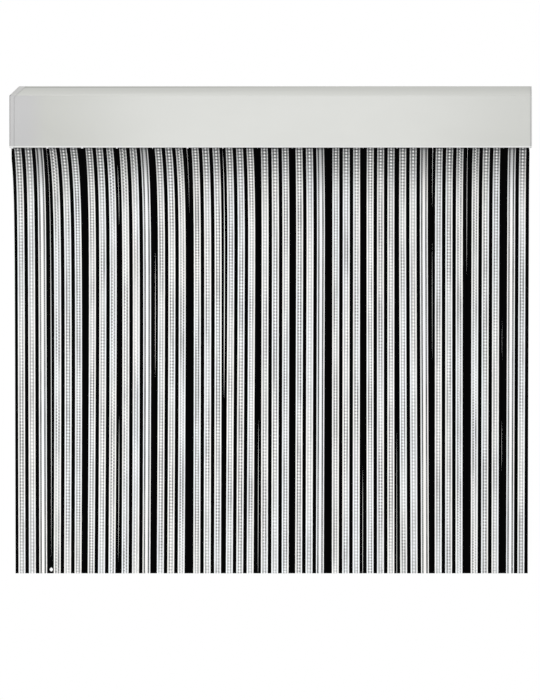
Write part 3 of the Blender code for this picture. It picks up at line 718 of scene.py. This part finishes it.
def hanger_bar(number, bands, places_y, height):
    """The bar that holds the bands of one colour in their hanger."""
    low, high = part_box("strip_hanger_" + number)
    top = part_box(bands + number)[1].z
    places_x = (low.x + BAR_INSET, high.x - BAR_INSET)
    points = [(x, y, z) for x in places_x for y in places_y for z in (top - height, top)]
    faces = [(0, 1, 3, 2), (4, 6, 7, 5), (0, 4, 5, 1), (2, 3, 7, 6), (0, 2, 6, 4), (1, 5, 7, 3)]
    return np.array(points), np.array(faces)


def join(strips, look, number, material, smooth_angle, replaced):
    """One piece of all the bands of one colour in a unit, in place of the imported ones."""
    points = []
    faces = []
    start = 0
    for strip_points, strip_faces in strips:
        points.append(strip_points)
        faces.append(strip_faces + start)
        start += len(strip_points)
    mesh = (np.concatenate(points).tolist(), np.concatenate(faces).tolist())
    piece = mesh_piece(look + number, *mesh, material, smooth_angle)
    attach(piece, "strip_unit_" + number)
    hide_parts(replaced + number)


def build_clear(unit):
    number = f"{unit:02d}"
    strips = []
    for kind, (left, right) in zip(KINDS[unit - 1], clear_edges[unit - 1]):
        strips.append(clear_strip(unit, kind, left, right))
    strips.append(hanger_bar(number, "clear_bands_", CLEAR_BAR_Y, CLEAR_BAR_HEIGHT))
    join(strips, "clear_look_", number, clear_band, CLEAR_SMOOTH_ANGLE, "clear_bands_")


def hanger_limits(unit):
    """Left and right limit of a unit's bands at its hanger: half-way to the next hanger, or a margin
    past its own end where there is none."""
    low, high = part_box(f"strip_hanger_{unit:02d}")
    left = low.x - HANGER_MARGIN
    right = high.x + HANGER_MARGIN
    if unit > 1:
        left = (low.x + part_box(f"strip_hanger_{unit - 1:02d}")[1].x) / 2
    if unit < UNIT_COUNT:
        right = (high.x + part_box(f"strip_hanger_{unit + 1:02d}")[0].x) / 2
    return left, right


def black_levels():
    """Heights of the rows of points down a black band."""
    even = np.linspace(HANGER_SWEEP_Z, BAND_FOOT, BLACK_ROWS)[1:]
    foot = np.linspace(even[-COARSE_END], BAND_FOOT, FOOT_ROWS)
    at_hanger = [BLACK_TOP, HANGER_SWEEP_Z, HANGER_SWEEP_Z - HAIR]
    return np.concatenate([at_hanger, even[:-COARSE_END], foot])


def outer_sides(unit, levels):
    """Left side of a unit's first black band and right side of its last one."""
    t = share_down(levels)
    below = np.clip(t / OUTER_START_SHARE, 0.0, 1.0)
    shift = sway(unit, levels)
    if unit > 1:
        left = slit(unit - 1, levels)[1]
    else:
        flare = FIRST_BAND_FLARE * np.exp(-t / FLARE_SHARE) * below
        left = black_edges[0][0][0] + shift - flare
    if unit < UNIT_COUNT:
        right = slit(unit, levels)[0]
    else:
        right = black_edges[-1][-1][1] + shift + LAST_BAND_EXTRA * below
    left_limit, right_limit = hanger_limits(unit)
    at_hanger = levels >= HANGER_SWEEP_Z
    left = np.where(at_hanger, np.maximum(left, left_limit), left)
    right = np.where(at_hanger, np.minimum(right, right_limit), right)
    inside_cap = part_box("end_cap_left")[0].x + CAP_WALL + CAP_GAP
    left = np.where(levels >= CAP_SWEEP_Z, np.maximum(left, inside_cap), left)
    return left, right


def build_black(unit):
    number = f"{unit:02d}"
    levels = black_levels()
    shift = sway(unit, levels)
    first_left, last_right = outer_sides(unit, levels)
    starts = [first_left] + [right + shift - LAP for _, right in clear_edges[unit - 1]]
    ends = [left + shift + LAP for left, _ in clear_edges[unit - 1]] + [last_right]
    strips = [black_strip(start, end, levels) for start, end in zip(starts, ends)]
    strips.append(hanger_bar(number, "black_bands_", BLACK_BAR_Y, BLACK_BAR_HEIGHT))
    join(strips, "black_look_", number, black_band, BLACK_SMOOTH_ANGLE, "black_bands_")


for unit in range(1, UNIT_COUNT + 1):
    build_clear(unit)
    build_black(unit)


# Stage, light and camera

# Strength of the world as light on the object and as the background that is seen, also in gloss
WORLD_STRENGTH = 0.42
BACKGROUND_STRENGTH = 1.0
LIGHT_TARGET = Vector((0.0, -0.05, -0.36))

# Floor: a disc under the curtain
FLOOR_RADIUS = 0.95
FLOOR_Z = -1.10
FLOOR_CORNERS = 64

# Camera: far away, because the photo shows no perspective, and square to the header
DISTANCE = 20.0
FRAME_HEIGHT = 1.20575
SENSOR = 36
CLIP_END = 100
CAMERA_X = -0.00112
CAMERA_Z = -0.40173

world = bpy.data.worlds.new("studio")
bpy.context.scene.world = world
world.use_nodes = True
tree = world.node_tree
background = tree.nodes["Background"]
path = tree.nodes.new("ShaderNodeLightPath")
seen = tree.nodes.new("ShaderNodeMix")
seen.data_type = "FLOAT"
seen.inputs[2].default_value = WORLD_STRENGTH
seen.inputs[3].default_value = BACKGROUND_STRENGTH
some_ray = maths(tree, "MAXIMUM", path.outputs["Is Camera Ray"], path.outputs["Is Glossy Ray"])
some_ray = maths(tree, "MAXIMUM", some_ray, path.outputs["Is Transmission Ray"])
tree.links.new(some_ray, seen.inputs["Factor"])
background.inputs["Color"].default_value = (1, 1, 1, 1)
tree.links.new(seen.outputs[0], background.inputs["Strength"])


def add_light(name, place, size, power):
    """A white rectangular lamp that faces the middle of the curtain."""
    light = bpy.data.lights.new(name, "AREA")
    light.shape = "RECTANGLE"
    light.size, light.size_y = size
    light.energy = power
    lamp = bpy.data.objects.new(name, light)
    lamp.location = place
    direction = LIGHT_TARGET - Vector(place)
    lamp.rotation_euler = direction.to_track_quat("-Z", "Y").to_euler()
    lamp.visible_camera = False
    bpy.context.scene.collection.objects.link(lamp)


add_light("left_light", (-0.80, -1.45, -0.44), (0.5, 0.9), 8.8)
add_light("right_light", (0.90, -1.45, -0.44), (0.5, 0.9), 7.2)
add_light("upper_light", (0.05, -1.05, 1.60), (0.8, 0.4), 6.0)
add_light("back_light", (0.35, 1.60, 0.25), (0.9, 0.9), 11)
add_light("left_side_light", (-2.0, 0.16, -0.10), (0.4, 0.9), 4.6)
add_light("right_side_light", (2.0, 0.16, -0.10), (0.4, 0.9), 4.6)

angles = [2 * math.pi * corner / FLOOR_CORNERS for corner in range(FLOOR_CORNERS)]
corners = [(FLOOR_RADIUS * math.cos(a), FLOOR_RADIUS * math.sin(a), FLOOR_Z) for a in angles]
floor_mesh = bpy.data.meshes.new("floor")
floor_mesh.from_pydata(corners, [], [tuple(range(FLOOR_CORNERS))])
floor_mesh.materials.append(finish("floor_pale", (0.80, 0.80, 0.80, 1), (0.84, 0.84, 0.84, 1), 3, 0.8))
floor = bpy.data.objects.new("floor", floor_mesh)
bpy.context.scene.collection.objects.link(floor)

camera_data = bpy.data.cameras.new("camera")
camera_data.sensor_width = SENSOR
camera_data.lens = SENSOR * DISTANCE / FRAME_HEIGHT
camera_data.clip_end = CLIP_END
camera = bpy.data.objects.new("camera", camera_data)
camera.location = (CAMERA_X, FACE_Y - DISTANCE, CAMERA_Z)
camera.rotation_euler = (math.pi / 2, 0, 0)
bpy.context.scene.collection.objects.link(camera)
bpy.context.scene.camera = camera
bpy.context.scene.view_settings.view_transform = "Standard"
